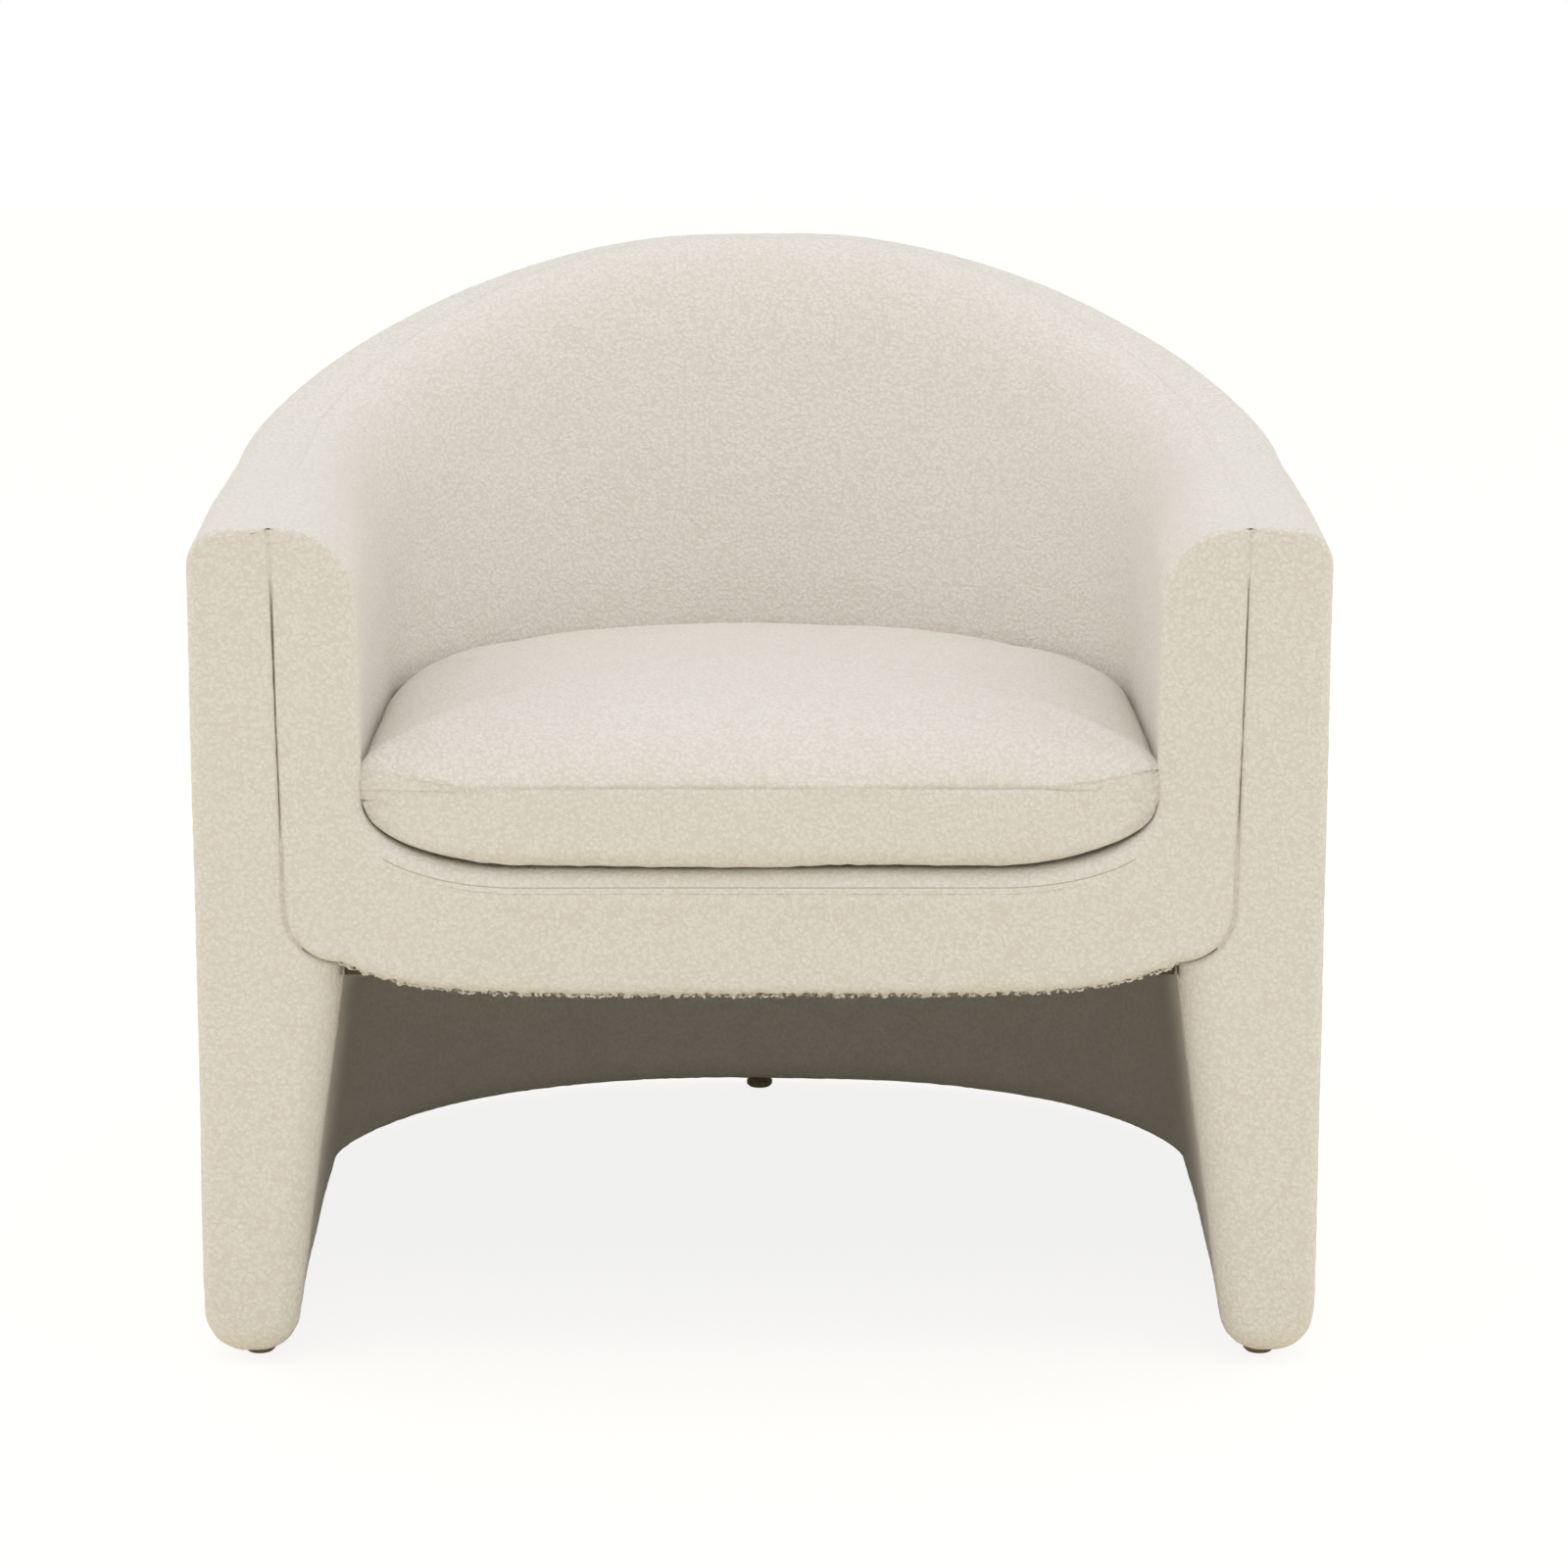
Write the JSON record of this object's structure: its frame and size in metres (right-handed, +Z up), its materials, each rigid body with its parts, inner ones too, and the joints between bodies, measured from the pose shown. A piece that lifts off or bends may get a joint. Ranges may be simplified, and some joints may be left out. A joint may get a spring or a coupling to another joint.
{
  "type": "upholstered armchair",
  "caption": "Barrel armchair: a horseshoe shell that reaches the floor, a padded tub set inside it and a loose crowned seat cushion with a zipped cover.",
  "frame": {"origin": "centre of the footprint, on the floor under the glides", "axes": "+X to the sitter's left seen from behind the chair, +Z up, the open front faces -Y"},
  "size_m": [0.81, 0.78, 0.736],
  "materials": {
    "looped_cloth": "cream looped wool cloth",
    "lining_cloth": "plain woven cloth",
    "dust_cloth": "black non-woven cloth",
    "foam": "cut foam",
    "fibre": "white fibre wrap",
    "webbing": "woven elastic webbing",
    "plywood": "birch ply",
    "timber": "planed beech",
    "hardboard": "smooth hardboard",
    "zip_cloth": "woven tape",
    "zip_plastic": "moulded coil",
    "steel": "zinc plated",
    "glide_plastic": "dark brown moulded plastic"
  },
  "bodies": {
    "chair": {"base_plate_lower": "plywood", "base_plate_upper": "plywood", "leg_panel_left": "plywood", "leg_panel_right": "plywood", "leg_blocks": "timber", "lower_ribs": "plywood", "seat_ring": "plywood", "upper_ribs": "plywood", "top_rail": "timber", "outer_skin": "plywood", "skirt_skin": "plywood", "inner_back_board": "hardboard", "front_rail": "timber", "rear_rail": "timber", "side_rail_left": "timber", "side_rail_right": "timber", "corner_blocks": "timber", "frame_screws": "steel", "webbing_long": "webbing", "webbing_cross": "webbing", "deck_foam": "foam", "deck_cover": "lining_cloth", "side_foam_left": "foam", "side_foam_right": "foam", "back_foam_left": "foam", "back_foam_right": "foam", "leg_foam": "foam", "tub_foam": "foam", "front_foam": "foam", "outside_cover": "looped_cloth", "skirt_lining_left": "looped_cloth", "skirt_lining_right": "looped_cloth", "leg_facing_left": "looped_cloth", "leg_facing_right": "looped_cloth", "tub_cover": "looped_cloth", "front_facing": "looped_cloth", "band_cloth": "looped_cloth", "dust_cover": "dust_cloth", "glides": "glide_plastic", "glide_nails": "steel"},
    "seat_cushion": {"cushion_core": "foam", "cushion_wrap": "fibre", "cushion_top_cover": "looped_cloth", "cushion_bottom_cover": "looped_cloth", "zip_tape": "zip_cloth", "zip_teeth": "zip_plastic", "zip_stops": "steel"},
    "slider": {"zip_slider": "steel"},
    "pull": {"zip_pull": "steel"}
  },
  "joints": [
    {"name": "cushion_lift", "type": "slide", "parent": "chair", "child": "seat_cushion", "axis": [0, 0, 1], "range_m": [0, 0.4]},
    {"name": "zip_travel", "type": "hinge", "parent": "seat_cushion", "child": "slider", "pos_m": [0, -0.11663, 0.41142], "axis": [0, 0.0436, 0.999], "range_deg": [0, 66]},
    {"name": "pull_swing", "type": "hinge", "parent": "slider", "child": "pull", "pos_m": [0.17977, 0.15369, 0.39962], "axis": [0, -0.0436, -0.999], "range_deg": [0, 160]}
  ]
}
